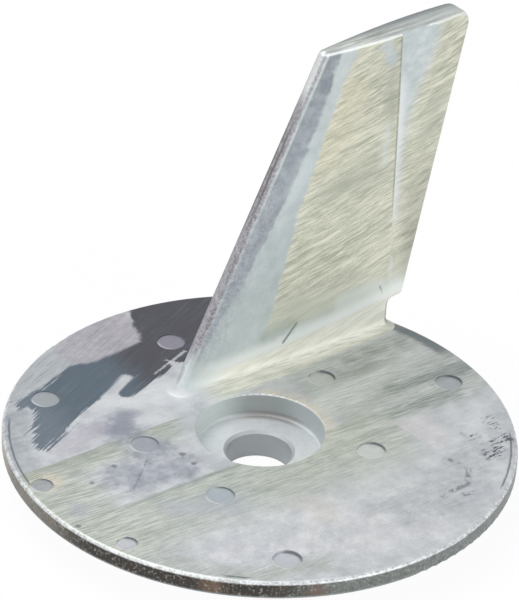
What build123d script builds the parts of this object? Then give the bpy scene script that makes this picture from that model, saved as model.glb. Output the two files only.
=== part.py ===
"""Trim tab anode: a swept fin on a round disc, cast in one piece with its bolt hub."""

import os
from math import cos, radians, sin, sqrt, tan

from build123d import *

os.makedirs("parts", exist_ok=True)

# The frame: the bolt's axis is Z, and Z = 0 is the hub's seating face.
# X runs along the fin towards its trailing edge, and the fin stands on the +Y side of the bolt.

# Disc
disc_diameter = 90.0
disc_thickness = 3.3
rim_top_rounding = 0.8
rim_back_rounding = 0.5

# Hub under the disc
hub_diameter = 30.0
hub_drop = 6.2
hub_edge_chamfer = 0.8
hub_root_radius = 1.2

# Bolt hole and the counterbore for the bolt's head
bolt_hole_diameter = 11.6
bolt_hole_chamfer = 0.5
counterbore_diameter = 22.4
counterbore_depth = 4.35
counterbore_mouth_radius = 0.35
counterbore_floor_radius = 0.6

# Fin: heights are counted from the disc's top face
fin_offset = 17.6  # from the bolt's axis to the fin's middle plane
fin_height = 60.2  # at the tip's leading end
fin_tip_rise = 2.0  # degrees that the tip climbs towards its trailing end
leading_edge_foot = -6.2  # where the leading edge would meet the disc
leading_edge_sweep = 25.4
leading_edge_radius = 1.2
side_flare = 7.5  # degrees that each side opens at, behind the rounded leading edge
side_crown = 3.84  # half the thickness that this opening heads for before the side turns back
trailing_edge_sweep = 11.5
trailing_thickness_root = 4.8
trailing_thickness_tip = 3.5
tip_trailing_radius = 2.8
fin_edge_radius = 1.0
fin_root_radius = 1.8

# The undercut where the trailing edge hangs out beyond the fin's root
root_rim_gap = 0.1  # left between the root's far corner, taken as sharp, and the rim
overhang = 3.3  # how far the trailing edge's corner stands out
overhang_height = 5.5
overhang_corner_easing = 0.2  # what this corner has over the radius of the edges that turn it
undercut_easing = 0.1

# The parting line that the mould's slide leaves on both sides of the fin
parting_line_foot = 39.9
parting_line_lean = 1.5
parting_step_root = 0.15
parting_step_tip = 0.35
slide_hollow_root = 3.0  # how far the hollow behind the line reaches
slide_hollow_tip = 8.0

# Ejector pin marks in the disc's top face: distance from the axis, angle, diameter, depth
ejector_marks = [
    (31.7, 84.0, 5.0, 0.12),
    (38.4, 133.3, 5.0, 0.12),
    (21.0, 160.6, 5.0, 0.1),
    (42.0, 171.6, 3.8, 0.1),
    (41.9, -158.5, 3.6, 0.2),
    (21.7, -145.0, 5.0, 0.12),
    (38.4, -120.1, 5.0, 0.45),
    (19.9, -51.3, 5.0, 0.3),
    (38.1, -9.0, 5.0, 0.3),
    (20.5, 21.1, 5.0, 0.35),
]

# Worked out from the sizes above
overcut = 2.0  # how far a cutter stands out of what it cuts
sliver = 0.01  # closer than this counts as level
rim_radius = disc_diameter / 2
disc_top = hub_drop + disc_thickness
disc_middle = hub_drop + disc_thickness / 2
sink = disc_thickness / 2  # how deep the fin reaches into the disc
counterbore_floor = disc_top - counterbore_depth
tip_slope = tan(radians(fin_tip_rise))
trailing_slope = tan(radians(trailing_edge_sweep))
flare = radians(side_flare)
root_end = sqrt(rim_radius**2 - (fin_offset + trailing_thickness_root / 2) ** 2) - root_rim_gap
trailing_edge_foot = root_end + overhang - overhang_height * trailing_slope
blank_height = fin_height + disc_diameter * tip_slope + overcut


def leading_x(height):
    """X of the leading edge at a height above the disc."""
    return leading_edge_foot + height * tan(radians(leading_edge_sweep))


def trailing_x(height):
    """X of the trailing edge at a height above the disc."""
    return trailing_edge_foot + height * trailing_slope


def parting_x(height):
    """X of the parting line at a height above the disc."""
    return parting_line_foot - height * tan(radians(parting_line_lean))


def between(root_value, tip_value, height):
    """A value that changes evenly from the fin's root to its tip."""
    return root_value + (tip_value - root_value) * height / fin_height


def side_curve(height):
    """The three X and half thickness pairs that one side of the fin's section is drawn from."""
    start_x = leading_x(height) + leading_edge_radius * (1 - sin(flare))
    start_half = leading_edge_radius * cos(flare)
    crown_x = start_x + (side_crown - start_half) / tan(flare)
    finish_half = between(trailing_thickness_root, trailing_thickness_tip, height) / 2
    return (start_x, start_half), (crown_x, side_crown), (trailing_x(height) + overcut, finish_half)


def half_thickness(x, height):
    """Half the fin's thickness at X: the curve's own parameter comes first, then its height."""
    (start_x, start_half), (crown_x, crown_half), (finish_x, finish_half) = side_curve(height)
    turn = start_x - 2 * crown_x + finish_x
    lead = crown_x - start_x
    share = (x - start_x) / (lead + sqrt(lead**2 + turn * (x - start_x)))
    rest = 1 - share
    return rest**2 * start_half + 2 * share * rest * crown_half + share**2 * finish_half


def lies_on_rim(edge):
    """Whether an edge stays at the rim's distance from the bolt's axis."""
    spots = [edge.position_at(share) for share in (0, 0.3, 0.7, 1)]
    return all(abs(Vector(spot.X, spot.Y).length - rim_radius) < sliver for spot in spots)


with BuildPart() as fin:
    # The blank runs from inside the disc to past the tip, and out behind the trailing edge.
    for height in (-sink, blank_height):
        start, crown, finish = side_curve(height)
        with BuildSketch(Plane((0, fin_offset, disc_top + height))):
            with BuildLine() as outline:
                Bezier(start, crown, finish)
                mirror(outline.line, about=Plane.XZ)
                ThreePointArc((start[0], -start[1]), (leading_x(height), 0), start)
                Line(finish, (finish[0], -finish[1]))
            make_face()
    loft(ruled=True)

    # The side view cuts the tip, the trailing edge and the undercut below it.
    foot = disc_top - sink
    tip_start = leading_x(fin_height)
    front = tip_start - disc_diameter
    tip_front = disc_top + fin_height - disc_diameter * tip_slope
    tip_rise = (trailing_edge_foot - tip_start + fin_height * trailing_slope) * tip_slope
    tip_rise = tip_rise / (1 - tip_slope * trailing_slope)
    tip_corner = (trailing_x(fin_height + tip_rise), disc_top + fin_height + tip_rise)
    overhang_corner = (trailing_x(overhang_height), disc_top + overhang_height)
    undercut_corner = (root_end, disc_top + overhang_height)
    with BuildSketch(Plane.XZ) as side_view:
        with BuildLine():
            Polyline(
                (front, foot),
                (front, tip_front),
                tip_corner,
                overhang_corner,
                undercut_corner,
                (root_end, foot),
                close=True,
            )
        make_face()
        for corner, radius in (
            (tip_corner, tip_trailing_radius),
            (overhang_corner, fin_edge_radius + overhang_corner_easing),
            (undercut_corner, fin_edge_radius + undercut_easing),
        ):
            fillet(side_view.vertices().sort_by_distance((*corner, 0))[0], radius=radius)
    extrude(side_view.sketch, amount=disc_diameter, both=True, mode=Mode.INTERSECT)

    # Every edge that the side view cut is rounded off, apart from those inside the disc.
    cut_faces = fin.faces().filter_by(lambda face: abs(face.normal_at().Y) < sliver)
    cut_faces = cut_faces.filter_by(lambda face: face.bounding_box().max.Z > foot + sliver)
    cut_faces = cut_faces.filter_by(lambda face: face.geom_type != GeomType.BSPLINE)
    cut_edges = cut_faces.edges().filter_by(Axis.Y, reverse=True)
    fillet(cut_edges, radius=fin_edge_radius)

with BuildPart() as anode_casting:
    # The disc starts wider than its rim, so that the fin's root fillet has a floor to end on.
    with BuildSketch(Plane.XY.offset(hub_drop)):
        Circle(rim_radius + fin_root_radius + overcut)
    extrude(amount=disc_thickness)
    add(fin.part)
    floor_edges = anode_casting.edges().filter_by_position(Axis.Z, disc_top, disc_top)
    fillet(floor_edges.filter_by(lambda edge: edge.bounding_box().size.X < disc_diameter), radius=fin_root_radius)

    # The slide leaves a step on both sides, and a hollow that dies out behind it.
    for side in (-1, 1):
        for height in (overhang_height, blank_height):
            start = parting_x(height)
            end = start + between(slide_hollow_root, slide_hollow_tip, height)
            step = between(parting_step_root, parting_step_tip, height)
            outside = half_thickness(start, height) + overcut
            with BuildSketch(Plane((0, fin_offset, disc_top + height))):
                with BuildLine():
                    Polyline(
                        (start, side * (half_thickness(start, height) - step)),
                        (end, side * half_thickness(end, height)),
                        (end, side * outside),
                        (start, side * outside),
                        close=True,
                    )
                make_face()
        loft(ruled=True, mode=Mode.SUBTRACT)

    # Turning takes the spill off outside the rim, and cuts the end of the fin's root fillet.
    with BuildSketch(Plane.XY.offset(hub_drop)):
        Circle(rim_radius + fin_root_radius + 2 * overcut)
        Circle(rim_radius, mode=Mode.SUBTRACT)
    extrude(amount=disc_thickness + fin_root_radius + overcut / 2, mode=Mode.SUBTRACT)
    rim_edges = anode_casting.edges().filter_by(lies_on_rim)
    fillet(rim_edges.filter_by(lambda edge: edge.center().Z > disc_middle), radius=rim_top_rounding)
    fillet(rim_edges.filter_by(lambda edge: edge.center().Z < disc_middle), radius=rim_back_rounding)

    # Hub
    with BuildSketch(Plane.XY):
        Circle(hub_diameter / 2)
    extrude(amount=disc_middle)
    hub_rings = anode_casting.edges().filter_by(GeomType.CIRCLE).filter_by_position(Axis.Z, hub_drop, hub_drop)
    fillet(hub_rings.sort_by(SortBy.RADIUS)[0], radius=hub_root_radius)
    chamfer(anode_casting.edges().group_by(Axis.Z)[0], length=hub_edge_chamfer)

    # Bolt hole and counterbore
    with Locations((0, 0, disc_top)):
        CounterBoreHole(bolt_hole_diameter / 2, counterbore_diameter / 2, counterbore_depth)
    for radius, level, easing in (
        (bolt_hole_diameter / 2, counterbore_floor, bolt_hole_chamfer),
        (counterbore_diameter / 2, counterbore_floor, counterbore_floor_radius),
        (counterbore_diameter / 2, disc_top, counterbore_mouth_radius),
    ):
        rings = anode_casting.edges().filter_by(GeomType.CIRCLE).filter_by_position(Axis.Z, level, level)
        ring = rings.sort_by(lambda edge: abs(edge.radius - radius) + edge.arc_center.X)[0]
        if easing == bolt_hole_chamfer:
            chamfer(ring, length=easing)
        else:
            fillet(ring, radius=easing)

    # Ejector pin marks
    for distance, angle, diameter, depth in ejector_marks:
        with BuildSketch(Plane.XY.offset(disc_top)):
            with PolarLocations(distance, 1, start_angle=angle):
                Circle(diameter / 2)
        extrude(amount=-depth, mode=Mode.SUBTRACT)

anode_casting.part.label = "anode_casting"
export_step(anode_casting.part, "parts/anode_casting.step")
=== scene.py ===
from math import cos, hypot, radians, sin, tan

import bpy
from mathutils import Matrix, Vector


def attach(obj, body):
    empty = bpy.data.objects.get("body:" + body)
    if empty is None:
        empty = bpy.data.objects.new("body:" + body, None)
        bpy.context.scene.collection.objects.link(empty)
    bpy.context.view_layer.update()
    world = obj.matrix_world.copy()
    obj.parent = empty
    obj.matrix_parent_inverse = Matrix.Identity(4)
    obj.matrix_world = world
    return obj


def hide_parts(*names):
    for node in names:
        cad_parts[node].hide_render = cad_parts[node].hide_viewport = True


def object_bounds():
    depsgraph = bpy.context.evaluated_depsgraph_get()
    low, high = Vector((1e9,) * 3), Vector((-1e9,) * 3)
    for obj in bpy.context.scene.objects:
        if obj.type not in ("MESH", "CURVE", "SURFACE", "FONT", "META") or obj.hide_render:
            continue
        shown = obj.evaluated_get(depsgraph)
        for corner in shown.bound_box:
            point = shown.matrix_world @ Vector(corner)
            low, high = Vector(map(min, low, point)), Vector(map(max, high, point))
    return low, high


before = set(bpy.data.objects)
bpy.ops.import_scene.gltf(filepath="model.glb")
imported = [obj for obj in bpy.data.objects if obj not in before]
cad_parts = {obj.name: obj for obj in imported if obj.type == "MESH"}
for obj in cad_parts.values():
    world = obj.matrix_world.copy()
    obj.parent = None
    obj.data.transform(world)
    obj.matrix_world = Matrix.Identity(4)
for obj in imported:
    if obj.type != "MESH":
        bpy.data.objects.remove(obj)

cad_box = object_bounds()

# ---------------------------------------------------------------- the casting's sizes, in millimetres
MM = 0.001
SLIVER = 0.002  # closer than this counts as touching
DISC_RADIUS = -cad_box[0][0] / MM
TIP_TOP = cad_box[1][2] / MM
DISC_BACK = 6.2
DISC_TOP = 9.5
WELL_RADIUS = 11.2
BOLT_HOLE_RADIUS = 5.8
FIN_MIDDLE = 17.6  # Y of the fin's middle plane
UNDERCUT_TOP = DISC_TOP + 5.5
LEADING_FOOT = -6.2  # X of the leading edge, level with the disc's top
LEADING_SLOPE = tan(radians(25.4))
PARTING_FOOT = 39.9
PARTING_SLOPE = tan(radians(1.5))
TONE_WAY = -38.5  # degrees from X: the way across the disc in which its rim changes tone and its well's wall has painted reflection and shade


def paint(red, green, blue):
    """A colour from its everyday 0 to 255 values, turned to the linear values that shaders use."""
    def linear(level):
        share = level / 255
        return share / 12.92 if share <= 0.04045 else ((share + 0.055) / 1.055) ** 2.4
    return linear(red), linear(green), linear(blue), 1.0


# ---------------------------------------------------------------- material kit
class Field:
    """A number that varies over the surface. Arithmetic on it adds Math nodes."""

    def __init__(self, nodes, socket):
        self.nodes = nodes
        self.socket = socket

    def math(self, operation, *values):
        return self.nodes.node("ShaderNodeMath", {"operation": operation}, dict(enumerate(values)))

    def __add__(self, other):
        return self.math("ADD", self, other)

    __radd__ = __add__

    def __sub__(self, other):
        return self.math("SUBTRACT", self, other)

    def __rsub__(self, other):
        return self.math("SUBTRACT", other, self)

    def __mul__(self, other):
        return self.math("MULTIPLY", self, other)

    __rmul__ = __mul__

    def __pow__(self, other):
        return self.math("POWER", self, other)

    def __abs__(self):
        return self.math("ABSOLUTE", self)

    def most(self, other):
        return self.math("MAXIMUM", self, other)

    def least(self, other):
        return self.math("MINIMUM", self, other)

    def ramp(self, low, high):
        """An eased mask: 0 where the field is at low, 1 where it is at high."""
        return self.nodes.node(
            "ShaderNodeMapRange", {"interpolation_type": "SMOOTHSTEP"}, {0: self, 1: low, 2: high})


class Nodes:
    """A node tree being put together."""

    def __init__(self, tree):
        self.tree = tree
        tree.nodes.clear()

    def node(self, kind, settings=None, inputs=None, output=0):
        """One node with its settings and inputs. Gives one output's field, or the node itself for None."""
        made = self.tree.nodes.new(kind)
        for setting, value in (settings or {}).items():
            setattr(made, setting, value)
        for key, value in (inputs or {}).items():
            if isinstance(value, Field):
                self.tree.links.new(value.socket, made.inputs[key])
            else:
                made.inputs[key].default_value = value
        return Field(self, made.outputs[output]) if output is not None else made

    def seen_directly(self):
        """1 on a ray from the camera, off a gloss or through a clear piece, and 0 on other light."""
        path = self.node("ShaderNodeLightPath", output=None)
        rays = ("Is Camera Ray", "Is Glossy Ray", "Is Transmission Ray")
        camera, gloss, clear = (Field(self, path.outputs[ray]) for ray in rays)
        return camera.most(gloss).most(clear)


class Sheet:
    """A flat sheet laid over one face, on which marks are placed in millimetres."""

    def __init__(self, first, second):
        self.first = first
        self.second = second
        self.node = first.nodes.node
        self.place = self.node("ShaderNodeCombineXYZ", None, {0: first, 1: second})

    def vector(self, operation, *values, output=0):
        return self.node("ShaderNodeVectorMath", {"operation": operation}, dict(enumerate(values)), output)

    def along(self, degrees):
        """The distance along a direction on the sheet."""
        return self.first * cos(radians(degrees)) + self.second * sin(radians(degrees))

    def dab(self, ax, ay, reach, bx=None, by=None, end_reach=None):
        """How far a point lies outside a round dab at a, or outside a stroke pulled from a to b."""
        if bx is None:
            return self.vector("DISTANCE", self.place, (ax, ay, 0), output="Value") - reach
        length = hypot(bx - ax, by - ay)
        way = ((bx - ax) / length, (by - ay) / length, 0)
        offset = self.vector("SUBTRACT", self.place, (ax, ay, 0))
        along = self.vector("DOT_PRODUCT", offset, way, output="Value")
        travelled = self.node("ShaderNodeClamp", None, {0: along, 1: 0.0, 2: length})
        nearest = self.node("ShaderNodeVectorMath", {"operation": "SCALE"}, {0: way, 3: travelled})
        away = self.vector("DISTANCE", offset, nearest, output="Value")
        return away - (travelled * ((end_reach - reach) / length) + reach)

    def dabs(self, *shapes):
        """How far a point lies outside several dabs and strokes taken together."""
        nearest = self.dab(*shapes[0])
        for shape in shapes[1:]:
            nearest = nearest.least(self.dab(*shape))
        return nearest


class Finish(Nodes):
    """A material being put together, with the surface's own place and the grain of its metal."""

    def __init__(self, name):
        self.material = bpy.data.materials.new(name)
        self.material.use_nodes = True
        super().__init__(self.material.node_tree)
        metres = self.node("ShaderNodeTexCoord", output="Object")
        self.place = self.node("ShaderNodeVectorMath", {"operation": "SCALE"}, {0: metres, 3: 1 / MM})
        self.x, self.y, self.z = self.split(self.place)
        facing = self.node("ShaderNodeTexCoord", output="Normal")
        self.facing_x, self.facing_y, self.facing_z = self.split(facing)
        self.radius = (self.x * self.x + self.y * self.y) ** 0.5
        self.clouds = self.noise((11, 11, 11))
        self.blotch = self.noise((3.4, 3.4, 3.4))
        self.mottle = self.noise((1.3, 1.3, 1.3))
        self.specks = self.noise((0.45, 0.45, 0.45), detail=2.0)

    def split(self, vector):
        parts = self.node("ShaderNodeSeparateXYZ", None, {0: vector}).socket.node.outputs
        return [Field(self, part) for part in parts]

    def mix(self, mask, below, above):
        """Colour below where the mask is 0, colour above where it is 1."""
        return self.node("ShaderNodeMix", {"data_type": "RGBA"}, {0: mask, 6: below, 7: above}, 2)

    def coat(self, colour, mask, *tone):
        """One plain tone laid over the colour, as thick as its mask."""
        return self.mix(mask, colour, paint(*tone))

    def grained(self, grain, dark, light, low=0.0, high=1.0):
        """A tone from dark to light by a grain about 0."""
        return self.mix((grain + 0.5).ramp(low, high), paint(*dark), paint(*light))

    def shade(self, colour, change):
        """The colour made lighter by a share, or darker where the share is below 0."""
        toward_black = {"data_type": "RGBA", "clamp_factor": False}
        return self.node("ShaderNodeMix", toward_black, {0: change * -1.0, 6: colour, 7: paint(0, 0, 0)}, 2)

    def noise(self, size, turn=(0, 0, 0), shift=0.0, detail=3.0, roughness=0.55):
        """Noise about 0, from about -1 to 1, its grain sized in millimetres along three turned axes."""
        where = self.node("ShaderNodeMapping", {"vector_type": "TEXTURE"}, {
            0: self.place, 1: (shift, 0, 0), 2: [radians(t) for t in turn], 3: size})
        raw = self.node("ShaderNodeTexNoise", None, {
            "Vector": where, "Scale": 1.0, "Detail": detail, "Roughness": roughness})
        return raw.math("MULTIPLY_ADD", raw, 3.0, -1.5)

    def brushed(self, degrees, length, width, shift):
        """Long thin brush marks over the disc, along a direction seen from above."""
        return self.noise((length, width, 40), (0, 0, degrees), shift, 3.0, 0.6)

    def belted(self, degrees, length, width, shift, detail=3.0):
        """Long thin belt marks over the fin's sides, rising at an angle towards its rear."""
        return self.noise((length, 6, width), (0, -degrees, 0), shift, detail, 0.6)

    def disc_brushing(self):
        """The disc's fine and broad brush marks."""
        return self.brushed(-3, 3.6, 0.22, 0), self.brushed(-2, 20.0, 1.5, 300)

    def bare_metal(self, colour, relief, roughness, calm, shine=0.0):
        """The zinc's surface, half metallic: less so and rougher where it is calm, more so by its shine."""
        bump = self.node("ShaderNodeBump", None, {
            "Strength": 0.55, "Distance": 0.00005, "Height": relief + self.mottle * 0.3 + self.specks * 0.3})
        surface = self.node("ShaderNodeBsdfPrincipled", None, {
            "Base Color": colour, "Metallic": 0.5 - calm * 0.25 + shine,
            "Roughness": roughness + self.mottle * 0.05 + self.specks * 0.03 + calm * 0.25, "Normal": bump})
        self.node("ShaderNodeOutputMaterial", None, {"Surface": surface}, output=None)
        return self.material


class DiscFinish(Finish):
    """The disc's zinc, brushed nearly along X."""

    def __init__(self, name):
        super().__init__(name)
        self.sheet = Sheet(self.x, self.y)
        self.fine, self.broad = self.disc_brushing()
        self.ragged = self.blotch * 1.4 + self.fine
        self.streaks = (self.fine * 0.75 + self.broad * 0.3 + 0.5).ramp(0.1, 0.9)

    def streaked(self, dark, light):
        """A tone from dark to light across the brush marks."""
        return self.mix(self.streaks, paint(*dark), paint(*light))


class FinFinish(Finish):
    """The fin's zinc, sanded on a belt. Heights count from the disc's top."""

    def __init__(self, name):
        super().__init__(name)
        self.sheet = Sheet(self.x, self.z)
        self.height = self.z - DISC_TOP
        self.behind = self.x - LEADING_FOOT - self.height * LEADING_SLOPE
        self.past_line = self.x - PARTING_FOOT + self.height * PARTING_SLOPE
        self.ragged = self.blotch * 0.7 + self.mottle * 0.5
        self.fine = self.belted(14, 3.0, 0.19, 0, 4.0)
        self.broad = self.belted(12, 9.0, 0.9, 300)
        steep = self.belted(22, 2.4, 0.2, 500, 4.0)
        crossed = (self.z + self.ragged * 3 - self.x * 0.3).ramp(44, 52)
        self.strokes = self.fine * 0.7 + self.broad * 0.35 + steep * (crossed * 0.4 + 0.2)
        self.strokes = self.strokes + self.specks * 0.12


# ---------------------------------------------------------------- the disc's finish
EJECTOR_MARKS = (  # distance from the bolt's axis, angle, diameter, tint
    (31.7, 84.0, 5.0, (156, 153, 166)),
    (38.4, 133.3, 5.0, (172, 176, 179)),
    (21.0, 160.6, 5.0, (152, 157, 168)),
    (42.0, 171.6, 3.8, (150, 155, 163)),
    (41.9, -158.5, 3.6, (190, 190, 199)),
    (21.7, -145.0, 5.0, (168, 178, 186)),
    (38.4, -120.1, 5.0, (190, 193, 200)),
    (19.9, -51.3, 5.0, (204, 208, 210)),
    (38.1, -9.0, 5.0, (168, 174, 180)),
    (20.5, 21.1, 5.0, (190, 195, 190)),
)


def pale_front(f, colour):
    """Pale smears over the front, duller metal close to the rim."""
    s = f.sheet
    front = (s.dabs((-24, -25, 7, -4, -32, 9), (5, -37, 6)) + f.ragged).ramp(3.5, -3.5)
    smears = f.brushed(45, 6.0, 2.2, 500)
    smeared = f.grained(smears * 0.4 + f.blotch * 0.35, (192, 194, 200), (216, 217, 220), 0.1, 0.9)
    colour = f.mix(front * 0.9, colour, smeared)
    rosy = (s.dab(-7, -20, 1.5, -6, -26, 2.5) + f.ragged * 0.5).ramp(2.0, -1.5)
    colour = f.coat(colour, rosy * 0.4, 214, 208, 203)
    near_rim = s.dabs((-36, -25, 2, -30, -32, 2), (-26, -34, 1.5, -15, -37, 1.2)) + f.ragged
    colour = f.coat(colour, near_rim.ramp(2.5, -1.0) * (1.2 - f.streaks).least(1.0) * 0.6, 158, 165, 152)
    left_side = (f.radius + f.blotch * 2).ramp(DISC_RADIUS - 7, DISC_RADIUS - 3)
    left_side = left_side * f.y.ramp(4, 14) * f.x.ramp(-20, -30)
    dusky = f.grained(f.broad * 0.5 + f.mottle * 0.3, (136, 142, 151), (178, 183, 188))
    return f.mix(left_side * 0.7, colour, dusky)


def green_bands(f, colour):
    """Greener brushed bands across the disc, ending in streaks."""
    ends = f.x + f.fine * 5 + f.broad * 4
    upper_edge = f.y.ramp(10.8, 10.3)
    side = ends.ramp(-28, -38) * f.y.ramp(10.8, 10.2) * (f.y + f.broad * 3).ramp(-27, -17)
    upper = upper_edge * (f.y + f.fine * 0.8 + f.broad).ramp(3.0, 7.5)
    upper = upper * (f.x + f.fine * 3 + f.broad * 2.4).ramp(-9, -16)
    lower = (f.y + f.fine * 0.2).ramp(-6.1, -6.7) * (f.y + f.fine * 2 + f.broad).ramp(-25, -14)
    lower = lower * ends.ramp(26, 16)
    green = f.streaked((152, 161, 149), (200, 204, 193))
    colour = f.mix(side.most(upper).most(lower * 0.9) * 0.8, colour, green)
    darker = upper * upper_edge * (f.y + f.fine * 0.8).ramp(7.0, 9.5)
    colour = f.mix(darker * 0.5, colour, f.streaked((138, 147, 136), (172, 178, 167)))
    lower_edge = (abs(f.y + 6.7) + f.fine * 0.35).ramp(0.9, 0.1) * f.x.ramp(-9, -13) * f.x.ramp(-36, -31)
    colour = f.coat(colour, lower_edge * 0.5, 134, 143, 138)
    scored = (f.sheet.dab(-14, -12, 5, 12, -15, 5) + f.ragged).ramp(3, -2)
    scored = (f.fine + f.broad * 0.6).ramp(0.35, 0.8) * scored
    return f.coat(colour, scored * lower * 0.5, 132, 141, 130)


def lilac_clouds(f, colour):
    """Lilac and grey clouds to the left of the bolt's well."""
    s = f.sheet
    cloud = s.dabs((-22, 15, 2.6, -20, 5, 3.6), (-28, 1, 4.5, -19, -2, 4.0)) + f.ragged * 0.9 + f.mottle * 0.6
    clouded = f.grained(f.mottle * 0.35 + f.blotch * 0.5, (136, 141, 152), (175, 178, 187))
    colour = f.mix(cloud.ramp(2.2, -2.2) * 0.8, colour, clouded)
    low_cloud = (s.dab(-26, -12, 2.0, -18, -15, 3.0) + f.ragged).ramp(3.5, -2.0)
    colour = f.coat(colour, low_cloud * 0.65, 174, 178, 186)
    spot = (s.dab(-40, -3, 1.6) + f.ragged * 0.8).ramp(1.8, -0.8)
    return f.coat(colour, spot * 0.5, 164, 163, 176)


def right_side(f, colour):
    """Lanes of dull and pale metal to the right of the well, and a rosy area with a straight left edge."""
    s = f.sheet
    beside = f.x.ramp(11, 17) * (f.y + f.broad * 1.5).ramp(-13, -9) * f.y.ramp(13, 11.5)
    beside = beside * (0.95 - f.streaks * 0.6)
    colour = f.mix(beside * 0.8, colour, f.streaked((160, 168, 159), (196, 201, 193)))
    dull = s.dabs((23, 6, 1.4, 34, 5.0, 0.8), (26, 9.4, 0.5, 40, 9.0, 0.5)) + f.ragged * 0.7 + f.fine
    colour = f.coat(colour, dull.ramp(1.6, -1.0) * 0.65, 142, 149, 143)
    lane = s.dabs((16, 0, 3.6, 26, 2.2, 2.0), (26, 2.2, 1.6, 40, 5.0, 1.8)) + f.fine * 1.2 + f.ragged * 0.4
    colour = f.mix(lane.ramp(1.8, -1.2) * 0.7, colour, f.streaked((186, 192, 189), (214, 218, 215)))
    dark_lane = s.dabs((28, -2.2, 1.2, 43, -3.2, 2.0), (22, -8.6, 1.0, 36, -9.4, 1.6))
    dark_lane = dark_lane + f.fine * 1.6 + f.broad * 0.6
    colour = f.mix(dark_lane.ramp(1.3, -1.0) * 0.75, colour, f.streaked((128, 139, 136), (164, 172, 168)))
    rosy = (f.x + f.y * 0.12 + f.fine * 0.25).ramp(19.4, 19.9) * (f.x + f.ragged).ramp(29, 25)
    rosy = rosy * (f.y + f.ragged * 0.5).ramp(-10.5, -12) * (f.y + f.ragged).ramp(-24, -18)
    colour = f.mix(rosy * 0.85, colour, f.grained(f.blotch * 0.5, (198, 196, 201), (214, 211, 214)))
    low = (s.dabs((6, -32, 2.5, 13, -35, 3.0), (20, -30, 2.0, 26, -28, 2.0)) + f.ragged).ramp(5, -3)
    greyer = f.grained(f.fine * 0.5 + f.mottle * 0.4, (156, 160, 166), (188, 191, 195))
    return f.mix(low * 0.55, colour, greyer)


def pale_and_lit_foot(f, fine, broad):
    """The pale brushed metal along the fin's foot, made paler by painted light."""
    return f.grained(fine * 0.75 + broad * 0.45, (196, 200, 187), (232, 232, 222), 0.1, 0.9)


def round_the_foot(f, colour):
    """Smudges in front of the fin's nose, and the pale strip along its foot, partly painted light."""
    s = f.sheet
    smudge = (s.dab(-21.5, 13, 1.4, -18, 16, 1.4) + f.ragged * 0.8).ramp(2.0, -0.8)
    colour = f.coat(colour, smudge * 0.85, 138, 144, 156)
    lilac = (s.dab(-32, 13.5, 2.0, -25, 15.5, 1.6) + f.ragged * 0.8).ramp(2.4, -0.6)
    colour = f.coat(colour, lilac * 0.6, 178, 174, 185)
    curve = (s.dab(-20, 22, 0.8, -6, 17.5, 2.6) + f.ragged * 0.6).ramp(2.4, -0.8)
    colour = f.coat(colour, curve * 0.7, 212, 214, 217)
    # The pale strip: brushed metal, partly painted light where the fin's foot catches it.
    foot = f.x.ramp(-4, 3) * (f.y + f.fine * 0.8 - f.x * 0.06).ramp(9.8, 12.0) * f.y.ramp(24, 20)
    return f.mix(foot * 0.9, colour, pale_and_lit_foot(f, f.fine, f.broad))


def yellow_film(f, colour, place, *tone):
    """A thin yellow film that lies between the brush marks."""
    between_marks = (f.fine * 0.9 + f.specks * 0.5 + 0.4).ramp(0, 0.7) * 0.8
    return f.coat(colour, place * between_marks, *tone)


def right_edges(f, colour):
    """A yellow film along the well's right side, and a slate corner at the rim beside the fin."""
    well_side = (f.radius + f.fine * 1.2 + f.blotch * 0.8).ramp(WELL_RADIUS + 3.4, WELL_RADIUS + 0.6)
    well_side = well_side * (f.x + f.y * 0.1).ramp(6.0, 9.5) * f.y.ramp(-9.5, -6.5)
    colour = yellow_film(f, colour, well_side, 219, 208, 188)
    slate = (f.radius + f.mottle * 0.4 + f.fine * 0.3).ramp(DISC_RADIUS - 3.4, DISC_RADIUS - 2.0)
    slate = slate * f.x.ramp(30, 36) * f.y.ramp(0, 4) * f.y.ramp(16, 14)
    return f.coat(colour, slate * 0.85, 108, 117, 121)


def brushed_disc(f):
    """The disc's top face: grey metal brushed one way, with paler, greener and lilac areas."""
    colour = f.grained(f.clouds * 0.4 + f.blotch * 0.45, (180, 184, 189), (207, 210, 213))
    for area in (pale_front, green_bands, lilac_clouds, right_side, round_the_foot, right_edges):
        colour = area(f, colour)
    grit = f.specks * 0.06 + f.mottle * 0.055 + f.blotch * 0.03 + f.fine * 0.07 + f.broad * 0.035
    return f.shade(colour, grit)


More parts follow.
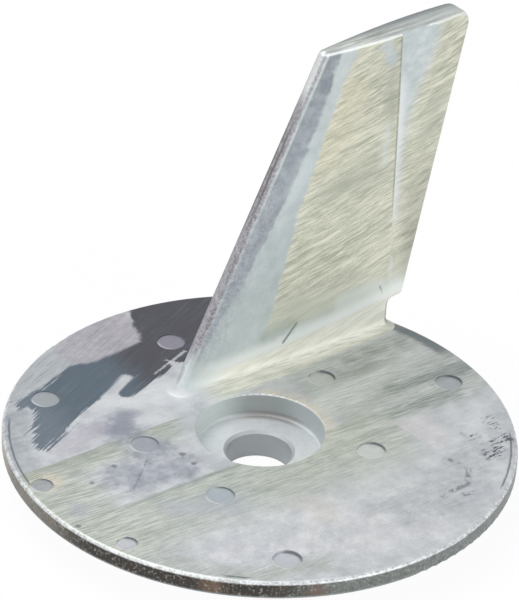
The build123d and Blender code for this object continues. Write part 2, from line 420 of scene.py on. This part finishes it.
def oxide_specks(f, colour):
    """Pits full of dark oxide, a dotted curve, thin dark lines close inside the rim, and a nick painted near
    white as its highlight.
    """
    s = f.sheet
    pitted = (f.brushed(4, 1.8, 0.45, 700) * 1.2 + f.specks * 0.5).ramp(0.0, 0.35)
    cluster = s.dabs((29.5, -27.6, 1.3, 34, -25.6, 1.4), (30, -21.5, 0.5), (35.6, -21.5, 0.5, 36, -19, 0.5))
    cluster = cluster + f.mottle
    colour = f.coat(colour, cluster.ramp(1.6, -0.6) * pitted * 0.95, 80, 86, 94)
    dotted = s.dabs((22, -24.5, 0.3, 23.2, -29, 0.3), (23.2, -29, 0.3, 20, -32.5, 0.4),
                    (20, -32.5, 0.4, 14, -32.8, 0.3), (17.5, -34.6, 0.4, 19.5, -35, 0.3)) + f.mottle * 0.2
    colour = f.coat(colour, dotted.ramp(0.5, -0.1) * (f.mottle * 2).ramp(-0.3, 0.6) * 0.8, 112, 118, 124)
    inside_rim = abs(f.radius - (DISC_RADIUS - 1.25) + f.mottle * 0.15).ramp(0.3, 0.05)
    arcs = s.dabs((27, -34.5, 3, 35, -27.5, 3), (-42, 10, 3, -37, 23, 3), (-29, -32.5, 2)).ramp(1.5, -1.0)
    colour = f.coat(colour, inside_rim * arcs * 0.8, 92, 98, 104)
    dots = s.dabs((-28, 4.3, 0.45), (-29, -3, 0.0, -22, 3, 0.0), (-16, 1, 0.5), (-16, -2.3, 0.35),
                  (-43, -7, 0.4), (20.3, 14.1, 0.12), (-34, 2.2, 0.3)) + f.specks * 0.25
    colour = f.coat(colour, dots.ramp(0.3, -0.15) * 0.75, 104, 110, 118)
    # Painted highlight: a nick beside the fin's nose, painted near white as its glint.
    nick = s.dab(-6.6, 15.5, 0.05, -5.9, 16.0, 0.1).ramp(0.15, -0.05)
    return f.coat(colour, nick, 238, 240, 242)


def burnt_patch(f, colour):
    """The dark burnt patch behind the fin, with a pale island in it and a streaked left end."""
    s = f.sheet
    streaks = f.brushed(25, 8.0, 0.3, 200)
    wide = f.brushed(24, 14.0, 1.6, 400)
    torn = streaks * 0.9 + f.mottle * 0.25 + wide * 0.5
    left_end = f.x.ramp(-16, -30)
    patch = s.dabs((14, 38, 12.8), (4, 36, 5.5), (3.0, 28.6, 4.2, 6, 34, 6), (-2, 30.7, 3.9, -16, 29.3, 5.2),
                   (-16, 29.3, 5.2, -24, 26, 5.0), (-24, 26, 5.0, -29, 21.5, 3.2),
                   (-29, 21.5, 3.2, -35, 16, 1.2), (-27, 28, 3.2, -30.5, 28.5, 1.6))
    patch = (patch + torn * (left_end * 1.6 + 0.5)).ramp(0.35, -0.35)
    lobe = (s.dab(-13.2, 21.9, 1.4, -3, 26, 2.0) + torn * 0.6).ramp(0.3, -0.3)
    notch = (s.dab(-17.5, 23.0, 0.3, -10.5, 26.0, 1.0) + torn * 0.5).ramp(0.5, -0.5)
    dash = (s.dab(-5.5, 24.4, 0.1, 3.5, 27.6, 0.25) + f.specks * 0.3).ramp(0.25, -0.15)
    patch = (patch * (1 - notch)).most(lobe) * (1 - dash * 0.8)
    scratched = s.dab(-26, 34.5, 2.2, -12, 38.5, 3.0).ramp(1.5, -1.0) * (streaks * 1.4).ramp(0.15, 0.5)
    patch = patch.most(scratched * 0.55)

    tone = f.mix((f.x + wide * 2).ramp(-5, -13), paint(75, 75, 83), paint(86, 100, 112))
    lighter = (streaks * 0.5 + wide * 0.35 + f.mottle * 0.25 + 0.3).ramp(0.2, 1.2)
    tone = f.coat(tone, lighter * (left_end * 0.4 + 0.4), 120, 129, 140)
    tone = f.coat(tone, (f.x + f.mottle * 1.5).ramp(-23, -31) * 0.4, 128, 138, 148)
    tone = f.shade(tone, f.specks * 0.08 + streaks * 0.09)

    beyond = f.x.ramp(3, -2) * (f.y + torn).ramp(30, 33.5)
    hazy = f.grained(streaks * 0.6 + wide * 0.4, (156, 162, 168), (188, 192, 196))
    colour = f.mix(beyond * 0.8, colour, hazy)
    colour = f.mix(patch, colour, tone)
    island = s.dabs((-12, 38, 4.6, -4.3, 38.8, 4.7), (-4, 40, 4.4, -3, 43, 4.4))
    island = (island + torn * 0.7).ramp(0.6, -0.6)
    return f.mix(island, colour, f.grained(streaks * 0.5 + f.mottle * 0.3, (152, 152, 160), (188, 184, 191)))


def left_film(f, colour):
    """A yellow film beside the print at the disc's left edge."""
    beside = (f.sheet.dab(-40.2, 6.4, 2.2) + f.fine * 0.6).ramp(1.6, -0.8)
    return yellow_film(f, colour, beside, 221, 207, 187)


def ejector_marks(f, colour):
    """Each pin's print has its own flat tint, with a painted highlight on its edge to the left and painted
    shade on its edge to the right.
    """
    for distance, angle, diameter, tint in EJECTOR_MARKS:
        across_x = f.x - distance * cos(radians(angle))
        across_y = f.y - distance * sin(radians(angle))
        reach = (across_x * across_x + across_y * across_y) ** 0.5
        half = diameter / 2
        flat = f.shade(paint(*tint), f.mottle * 0.05 + f.fine * 0.04)
        colour = f.mix(reach.ramp(half + 0.05, half - 0.15) * 0.75, colour, flat)
        edge = reach.ramp(half - 0.55, half - 0.1) * reach.ramp(half + 0.2, half)
        toward_shade = across_x * 0.96 + across_y * 0.28
        # Painted shade on the print's edge to the right and a painted highlight on its edge to the left, as
        # on the wall of a shallow recess.
        colour = f.coat(colour, edge * toward_shade.ramp(half * 0.3, half * 0.95) * 0.75, 112, 117, 124)
        colour = f.coat(colour, edge * toward_shade.ramp(-half * 0.4, -half) * 0.6, 226, 229, 231)
    return colour


def cast_rim(f):
    """The rim's side is cast skin; along TONE_WAY it is pale to the far left, brown and charcoal round the
    front, grey-green to the right, with rust and pits.
    """
    aside = f.sheet.along(TONE_WAY) + f.blotch * 1.6
    colour = f.mix(aside.ramp(-47, -41), paint(196, 192, 185), paint(124, 120, 112))
    colour = f.coat(colour, aside.ramp(-38, -26), 56, 52, 48)
    colour = f.coat(colour, aside.ramp(2, 16), 116, 121, 118)
    colour = f.coat(colour, aside.ramp(22, 38), 122, 129, 129)
    rust = f.sheet.dabs((-34, -32, 2.4), (-26, -40, 2.0), (-20, -43, 2.4)) + f.mottle * 1.2
    colour = f.coat(colour, rust.ramp(1.2, -1.0) * 0.7, 124, 102, 86)
    pits = f.mottle * 0.4 + f.specks * 0.9
    colour = f.coat(colour, pits.ramp(0.0, 0.8) * 0.55, 182, 180, 173)
    return f.coat(colour, pits.ramp(0.0, -0.8) * 0.55, 58, 54, 51)


def bolt_well(f):
    """The counterbore and the bolt's hole: turned metal; painted reflection and shade make the wall lighter
    and greener to the left, darker in the middle and bluer to the right, and a painted shadow lies under the
    ledge.
    """
    aside = f.sheet.along(TONE_WAY)
    # Painted reflection and shade on the wall: lighter and greener to the left, darker in the middle, bluer
    # to the right.
    wall = f.mix(aside.ramp(-9.5, -2), paint(214, 223, 221), paint(160, 166, 165))
    wall = f.coat(wall, aside.ramp(2, 9), 190, 197, 198)
    wall = f.coat(wall, f.radius.ramp(BOLT_HOLE_RADIUS + 0.8, BOLT_HOLE_RADIUS + 0.4), 172, 178, 180)
    turned = f.noise((30, 30, 0.25), shift=40)
    wall = f.shade(wall, turned * 0.05 + f.mottle * 0.03)
    floor = f.grained(f.clouds * 0.3 + f.mottle * 0.3 + f.fine * 0.2, (200, 205, 208), (219, 222, 224))
    colour = f.mix(f.facing_z.ramp(0.6, 0.9), wall, floor)
    # Painted shadow beneath the ledge, on the back right of the floor and at the wall's foot.
    ledge_shadow = f.z.ramp(6.4, 5.5) * f.radius.ramp(WELL_RADIUS - 1.8, WELL_RADIUS - 0.7)
    return f.coat(colour, ledge_shadow * f.sheet.dab(8, 7, 4.0).ramp(4, -2) * 0.7, 140, 136, 134)


def disc_zinc():
    """The disc and its hub: brushed top, cast rim and back, turned well."""
    f = DiscFinish("brushed_cast_zinc")
    colour = brushed_disc(f)
    for marks in (oxide_specks, burnt_patch, left_film, ejector_marks):
        colour = marks(f, colour)
    bevel = f.radius.ramp(DISC_RADIUS - 1.0, DISC_RADIUS - 0.6) * f.facing_z.ramp(0.97, 0.85)
    bevel = bevel * f.z.ramp(DISC_TOP - 0.9, DISC_TOP - 0.6)
    bright_grit = f.grained(f.mottle * 0.4 + f.specks * 0.6, (168, 170, 172), (232, 234, 236))
    colour = f.mix(bevel * 0.85, colour, bright_grit)
    on_rim = f.radius.ramp(DISC_RADIUS - 0.8, DISC_RADIUS - 0.2) * f.facing_z.ramp(0.55, 0.2)
    colour = f.mix(on_rim * f.z.ramp(DISC_TOP - 0.1, DISC_TOP - 0.5), colour, cast_rim(f))
    in_well = f.radius.ramp(WELL_RADIUS + 0.4, WELL_RADIUS + 0.1) * f.z.ramp(DISC_TOP - 0.01, DISC_TOP - 0.2)
    colour = f.mix(in_well, colour, bolt_well(f))
    outside_well = f.facing_z.ramp(-0.2, -0.6).most(f.radius.ramp(WELL_RADIUS + 0.8, WELL_RADIUS + 1.8))
    on_back = f.z.ramp(DISC_BACK + 0.7, DISC_BACK + 0.2) * outside_well
    cast_back = f.grained(f.mottle * 0.4 + f.blotch * 0.3 + f.clouds * 0.4, (138, 143, 148), (178, 182, 185))
    colour = f.mix(on_back, colour, f.shade(cast_back, f.specks * 0.06))
    face = f.facing_z.ramp(0.6, 0.9) * f.radius.ramp(WELL_RADIUS, WELL_RADIUS + 0.3) * (1 - on_back)
    return f.bare_metal(colour, f.fine * face * 0.6, 0.48 - face * 0.05, on_back * 0.4, in_well * -0.2)


# ---------------------------------------------------------------- the fin's finish
def cast_skin(f):
    """Smooth cast skin, paler towards the sanded metal; painted reflection in a dark band behind the leading
    edge, painted shade near the foot, and painted light by height.
    """
    s = f.sheet
    skin = f.grained(f.clouds * 0.35 + f.blotch * 0.5, (178, 189, 190), (202, 208, 208))
    # Painted shade low on the fin's front, near its foot where fin and disc meet.
    wide_foot_shade = (s.dab(0, 15, 2.0, 8, 24, 5.0) + f.ragged * 1.5).ramp(8, -4)
    skin = f.coat(skin, wide_foot_shade * 0.45, 178, 188, 186)
    foot_shade = (s.dab(-1, 15.2, 1.5, 10, 18.0, 3.0) + f.ragged).ramp(3.5, -2.0)
    skin = f.coat(skin, foot_shade * 0.25, 166, 176, 171)
    # Painted reflection: a dark blue-grey band behind the leading edge, darker towards the top.
    from_middle = f.height - 38
    reflection_end = f.behind - 5.4 + from_middle * from_middle * 0.0042 + f.ragged * 0.8
    band = reflection_end.ramp(0.5, -0.5) * f.behind.ramp(0.9, 1.4)
    reflection_tone = f.grained(f.mottle * 0.4 + f.blotch * 0.4, (136, 143, 151), (166, 173, 180))
    skin = f.mix(band * 0.92, skin, f.shade(reflection_tone, f.height.ramp(44, 56) * -0.13))
    dusty = (f.behind + f.ragged * 1.4).ramp(7.0, 1.5) * f.height.ramp(3, 9) * f.height.ramp(42, 30)
    dust = f.grained(f.specks * 0.6 + f.mottle * 0.4, (148, 152, 160), (180, 186, 190))
    skin = f.mix(dusty * 0.6, skin, dust)
    smear = (s.dab(16.5, 44, 0.6, 19.5, 49, 0.9) + f.ragged).ramp(2.0, -0.8)
    skin = f.coat(skin, smear * 0.35, 222, 228, 229)
    # Painted light: lighter low down and darker high up.
    light_by_height = f.height.ramp(17, 6) * 0.15 - f.height.ramp(40, 58) * 0.05
    flow = f.belted(64, 5.0, 0.5, 700)
    return f.shade(skin, light_by_height + f.specks * 0.05 + f.mottle * 0.05 + flow * 0.03)


def sanded_metal(f):
    """Yellow-grey metal with the belt's strokes, duller in places and calmer near the foot; painted light and
    shade behind the parting line and by height.
    """
    s = f.sheet
    sand = f.grained(f.strokes, (160, 164, 147), (226, 225, 208), -0.1, 1.1)
    warm = (s.dab(26, 60, 3.0, 23, 50, 2.0) + f.ragged * 2).ramp(6, -3)
    sand = f.coat(sand, warm * 0.22, 226, 214, 180)
    dull = (s.dab(24, 42.5, 1.5, 34, 44, 2.0) + f.ragged * 1.5).ramp(4, -2)
    dull = dull.most((s.dab(46, 49, 1.8, 47.5, 54, 1.5) + f.ragged).ramp(2.5, -1.5))
    dull = dull.most((s.dab(36.5, 66, 1.0, 37.2, 52, 0.5) + f.ragged).ramp(2.0, -1.0))
    sand = f.coat(sand, dull * 0.45, 158, 164, 150)
    # Painted light and shade: darker behind the parting line low down and lighter there high up; lighter
    # below mid height and darker at the top.
    shade_behind_line = f.past_line.ramp(0.5, 5.0) * (f.height.ramp(15, 44) * 0.38 - 0.32)
    sand = f.shade(sand, shade_behind_line + f.height.ramp(44, 26) * 0.05 - f.height.ramp(42, 54) * 0.06)
    calm = (f.z + f.blotch * 2 + f.fine * 1.5).ramp(26, 19)
    return f.mix(calm * 0.7, sand, f.grained(f.broad * 0.4, (190, 195, 181), (208, 211, 197)))


def sanded_area(f):
    """1 where the belt has taken the cast skin off: behind a curved border and above the foot."""
    low = f.z - 19.2
    border = f.x - 12.6 - low * 0.203 - low * low * 0.0026 + f.clouds * 0.6 + f.fine * 0.7 + f.mottle * 0.3
    return border.ramp(-0.35, 0.45) * (f.z + f.blotch * 0.8 + f.fine * 0.6).ramp(15.4, 18.4)


def parting_line(f, colour):
    """The thin shadow of the parting step, and the blue-grey hollow that widens behind it."""
    s = f.sheet
    opening = f.height.ramp(28, 62) * f.height.ramp(28, 62) * 7.5 + 1.2 + f.ragged * 0.7
    hollow = f.past_line.ramp(0.0, 0.3) * (f.past_line - opening).ramp(2.0, -1.6) * f.height.ramp(20.5, 23)
    blue_grey = f.grained(f.mottle * 0.5 + f.blotch * 0.4, (182, 193, 198), (207, 216, 220))
    blue_grey = f.coat(blue_grey, f.past_line.ramp(2.6, 0.6) * f.height.ramp(54, 48), 224, 229, 232)
    colour = f.mix(hollow * 0.85, colour, blue_grey)
    broken = (f.mottle * 0.5 + f.broad * 0.5 + 0.9).ramp(0.2, 0.9)
    line = abs(f.past_line + 0.14).ramp(0.42, 0.08) * f.height.ramp(22, 32) * broken
    colour = f.coat(colour, line * 0.65, 134, 142, 134)
    wedge = (s.dab(35.2, 68.5, 1.0, 36.3, 65.5, 0.6) + f.fine * 0.6 + f.mottle).ramp(1.4, -0.6)
    colour = f.mix(wedge * 0.75, colour, f.grained(f.mottle * 0.4, (180, 190, 196), (200, 208, 212)))
    pale = (s.dab(36.0, 45, 0.3, 36.3, 52, 0.5) + f.mottle * 0.9).ramp(1.8, -1.0)
    pale = pale.most((s.dab(40.0, 18.5, 0.3, 39.9, 24.0, 0.3) + f.mottle * 0.3).ramp(0.6, -0.4))
    return f.coat(colour, pale * 0.5, 216, 222, 220)


def fin_foot(f, colour):
    """The pale lip over the undercut, the root fillet painted bright and cream as the light falling on it,
    and two nicks.
    """
    s = f.sheet
    lip = s.dabs((29, 18.2, 1.4, 37, 18.2, 1.8), (39.5, 17.5, 1.6, 41.5, 18, 1.4))
    lip = (lip + f.ragged * 0.8).ramp(1.5, -0.7)
    colour = f.coat(colour, lip * 0.8, 212, 219, 214)
    crack = s.dab(37.6, 18.8, 0.12, 38.4, 17.1, 0.1).ramp(0.2, -0.05)
    colour = f.coat(colour, crack * 0.7, 130, 138, 134)
    # Painted light on the root fillet in front: near white on its face, cream at its foot.
    rise = f.z - 11.6 - f.x * 0.1 + f.fine * 0.3
    colour = f.coat(colour, rise.ramp(3.6, 1.0) * f.x.ramp(-5, 3) * 0.85, 236, 240, 236)
    lit_cream = f.grained(f.fine * 0.6 + f.broad * 0.5, (214, 216, 200), (248, 247, 236))
    colour = f.mix(rise.ramp(0.9, -0.4) * f.x.ramp(-1, 7) * 0.85, colour, lit_cream)
    nick_shade = (s.dab(12, 16.4, 1.2, 17.2, 17.6, 1.2) + f.mottle * 0.5).ramp(1.5, -0.9)
    colour = f.coat(colour, nick_shade * 0.45, 160, 170, 160)
    nick = (s.dab(15.9, 14.1, 0.18, 18.6, 17.2, 0.1) + f.specks * 0.1).ramp(0.3, -0.12)
    return f.coat(colour, nick * 0.8, 112, 120, 112)


def leading_edge(f, colour):
    """The grey nose, darkened towards the top as painted reflection, with a dark seam behind it, a gouge, and
    bright specks.
    """
    nose = f.grained(f.mottle * 0.5 + f.blotch * 0.4, (140, 142, 150), (210, 211, 218))
    colour = f.mix(f.behind.ramp(0.2, -0.1) * 0.8, colour, nose)
    # Painted reflection: the nose darker towards the top.
    colour = f.shade(colour, f.behind.ramp(0.4, 0.0) * f.height.ramp(44, 56) * -0.2)
    seam = (f.behind + f.mottle * 0.12).ramp(-0.1, 0.1) * (f.behind + f.mottle * 0.3).ramp(1.0, 0.4)
    seam = seam * f.height.ramp(5, 9) * (f.mottle * 0.6 + f.blotch * 0.5 + 0.8).ramp(0, 0.9)
    rusty = f.grained(f.specks * 0.6 + f.mottle * 0.4, (112, 106, 110), (168, 164, 170), 0.1, 0.9)
    colour = f.mix(seam * 0.85, colour, rusty)
    gouge = abs(f.behind - 0.12 + f.mottle * 0.06).ramp(0.16, 0.03)
    gouge = gouge * f.height.ramp(26, 36) * f.height.ramp(52, 44)
    colour = f.coat(colour, gouge * 0.7, 78, 74, 76)
    glints = f.specks.ramp(0.62, 0.85) * (f.behind + f.mottle).ramp(4.0, 1.5) * f.behind.ramp(0.9, 1.2)
    return f.coat(colour, glints * 0.75, 240, 242, 244)


def rear_faces(f, colour):
    """The end face under the overhang painted slate as its shade, and the trailing edge above it painted pale
    as a highlight.
    """
    over_undercut = f.z.ramp(UNDERCUT_TOP - 0.4, UNDERCUT_TOP + 0.6)
    # Painted shade on the end face under the overhang.
    under = f.facing_x.ramp(0.05, 0.45) * f.z.ramp(UNDERCUT_TOP + 0.6, UNDERCUT_TOP - 0.4)
    colour = f.coat(colour, under * 0.85, 112, 121, 129)
    # Painted highlight along the trailing edge's rounding.
    rear = f.facing_x.ramp(0.25, 0.7) * over_undercut
    return f.mix(rear * 0.7, colour, f.grained(f.mottle * 0.4, (206, 209, 205), (228, 231, 230)))


def fin_tip(f, colour):
    """The tip's top face, brushed along its length, with a darker far side and a painted highlight on its
    rounded edges.
    """
    fine = f.brushed(-1, 5.0, 0.35, 100)
    broad = f.brushed(0, 16.0, 0.8, 600)
    tone = f.grained(fine * 0.6 + broad * 0.5, (126, 133, 130), (218, 221, 216))
    tone = f.coat(tone, f.x.ramp(28, 44) * 0.5, 172, 180, 180)
    tone = f.coat(tone, (f.y + broad * 0.5).ramp(FIN_MIDDLE - 0.4, FIN_MIDDLE + 1.8) * 0.8, 110, 116, 121)
    high = f.z.ramp(TIP_TOP - 10.7, TIP_TOP - 6.7)
    colour = f.mix(f.facing_z.ramp(0.55, 0.9) * high, colour, tone)
    # Painted highlight on the tip's rounded edges.
    return f.coat(colour, f.facing_z.ramp(0.25, 0.5) * f.facing_z.ramp(0.9, 0.6) * high * 0.8, 232, 235, 234)


def disc_tones(f, colour):
    """The root fillet runs out into the disc's own tones."""
    fine, broad = f.disc_brushing()
    ground = f.mix(f.x.ramp(-4, 3), paint(206, 209, 212), pale_and_lit_foot(f, fine, broad))
    return f.mix((f.z + fine * 0.15 + f.mottle * 0.1).ramp(DISC_TOP + 1.4, DISC_TOP + 0.3), colour, ground)


def fin_zinc():
    """The fin and its root fillet: cast skin in front and below, sanded metal between."""
    f = FinFinish("sanded_cast_zinc")
    sanded = sanded_area(f)
    colour = f.mix(sanded, cast_skin(f), sanded_metal(f))
    for place in (parting_line, fin_foot, leading_edge, rear_faces, fin_tip, disc_tones):
        colour = place(f, colour)
    fillet = f.facing_z.ramp(0.97, 0.9) * f.facing_z.ramp(0.02, 0.12)
    fillet = fillet * f.z.ramp(DISC_TOP + 2.5, DISC_TOP + 1.7)
    return f.bare_metal(colour, f.strokes * sanded * 0.8, 0.48 - sanded * 0.05, fillet)


# ---------------------------------------------------------------- the casting
SHARPEST_SMOOTH = radians(28)  # edges that turn more than this stay sharp
LEVEL = 0.9999  # a face whose normal stands this upright is level


def select_only(thing):
    for other in bpy.context.selected_objects:
        other.select_set(False)
    thing.select_set(True)
    bpy.context.view_layer.objects.active = thing


def smooth_casting():
    """The casting's own shape with its doubles merged, shaded smooth between its real edges."""
    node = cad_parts["anode_casting"]
    casting = bpy.data.objects.new("zinc_casting", node.data.copy())
    bpy.context.scene.collection.objects.link(casting)
    select_only(casting)
    bpy.ops.mesh.customdata_custom_splitnormals_clear()
    bpy.ops.object.mode_set(mode="EDIT")
    bpy.ops.mesh.select_all(action="SELECT")
    bpy.ops.mesh.remove_doubles(threshold=SLIVER * MM)
    bpy.ops.mesh.select_all(action="DESELECT")
    bpy.ops.object.mode_set(mode="OBJECT")
    bpy.ops.object.shade_smooth_by_angle(angle=SHARPEST_SMOOTH)

    # The level faces lead the shading, so that fillets don't darken them.
    bpy.context.tool_settings.mesh_select_mode = (False, False, True)
    for face in casting.data.polygons:
        face.select = abs(face.normal.z) > LEVEL
    bpy.ops.object.mode_set(mode="EDIT")
    bpy.ops.mesh.mod_weighted_strength(set=True, face_strength="STRONG")
    bpy.ops.object.mode_set(mode="OBJECT")
    weighted = casting.modifiers.new("weighted", "WEIGHTED_NORMAL")
    weighted.keep_sharp = True
    weighted.use_face_influence = True
    bpy.ops.object.modifier_apply(modifier=weighted.name)

    # The fin and its fillet are all that rises above the disc's top.
    casting.data.materials.clear()
    casting.data.materials.append(disc_zinc())
    casting.data.materials.append(fin_zinc())
    for face in casting.data.polygons:
        face.material_index = 1 if face.center.z > (DISC_TOP + SLIVER) * MM else 0
    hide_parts("anode_casting")
    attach(casting, "root")


smooth_casting()


# ---------------------------------------------------------------- floor, world, lamps, camera
def pale_floor():
    """A white floor that glows where it is seen directly, and still takes the casting's shadow."""
    bpy.ops.mesh.primitive_circle_add(vertices=64, radius=3.0, fill_type="NGON", location=(0, 0, 0))
    floor = bpy.context.object
    floor.name = "studio_floor"
    material = bpy.data.materials.new("white_floor")
    material.use_nodes = True
    n = Nodes(material.node_tree)
    matt = n.node("ShaderNodeBsdfDiffuse", None, {"Color": (0.8, 0.8, 0.8, 1)})
    glow = n.node("ShaderNodeEmission", None, {"Strength": 1.01})
    mixed = n.node("ShaderNodeMixShader", None, {0: n.seen_directly() * 0.94, 1: matt, 2: glow})
    n.node("ShaderNodeOutputMaterial", None, {"Surface": mixed}, output=None)
    floor.data.materials.append(material)


def soft_world():
    """Plain soft light from all round, and a white background where it is seen directly."""
    world = bpy.data.worlds.new("studio")
    bpy.context.scene.world = world
    world.use_nodes = True
    n = Nodes(world.node_tree)
    background = n.node("ShaderNodeBackground", None, {"Strength": n.seen_directly() * 0.52 + 0.48})
    n.node("ShaderNodeOutputWorld", None, {"Surface": background}, output=None)


def area_lamp(name, place, size, power):
    """A square lamp turned towards the casting's middle."""
    middle = Vector((0.005, 0.01, 0.03))
    data = bpy.data.lights.new(name, "AREA")
    data.size = size
    data.energy = power
    lamp = bpy.data.objects.new(name, data)
    lamp.location = place
    lamp.rotation_euler = (middle - Vector(place)).to_track_quat("-Z", "Y").to_euler()
    bpy.context.scene.collection.objects.link(lamp)


def product_camera():
    """A long lens in front of the casting and to its left, looking down on it."""
    place = Vector((-305.37, -381.42, 335.77))
    heading = radians(-38.5)
    downward = radians(31.54)
    roll = radians(3.47)
    data = bpy.data.cameras.new("product_camera")
    data.sensor_width = 36.0
    data.sensor_fit = "HORIZONTAL"
    data.lens = 233.55
    data.clip_start = 0.05
    camera = bpy.data.objects.new("product_camera", data)
    aim = Matrix.Rotation(heading, 4, "Z") @ Matrix.Rotation(radians(90) - downward, 4, "X")
    camera.matrix_world = Matrix.Translation(place * MM) @ aim @ Matrix.Rotation(roll, 4, "Z")
    bpy.context.scene.collection.objects.link(camera)
    bpy.context.scene.camera = camera


pale_floor()
soft_world()
area_lamp("overhead", (-0.15, 0.25, 0.75), 0.6, 3.8)
area_lamp("left_side", (-0.7, -0.1, 0.45), 0.5, 1.4)
area_lamp("front_fill", (0.1, -0.85, 0.22), 0.7, 4.2)
product_camera()
bpy.context.scene.view_settings.view_transform = "Standard"
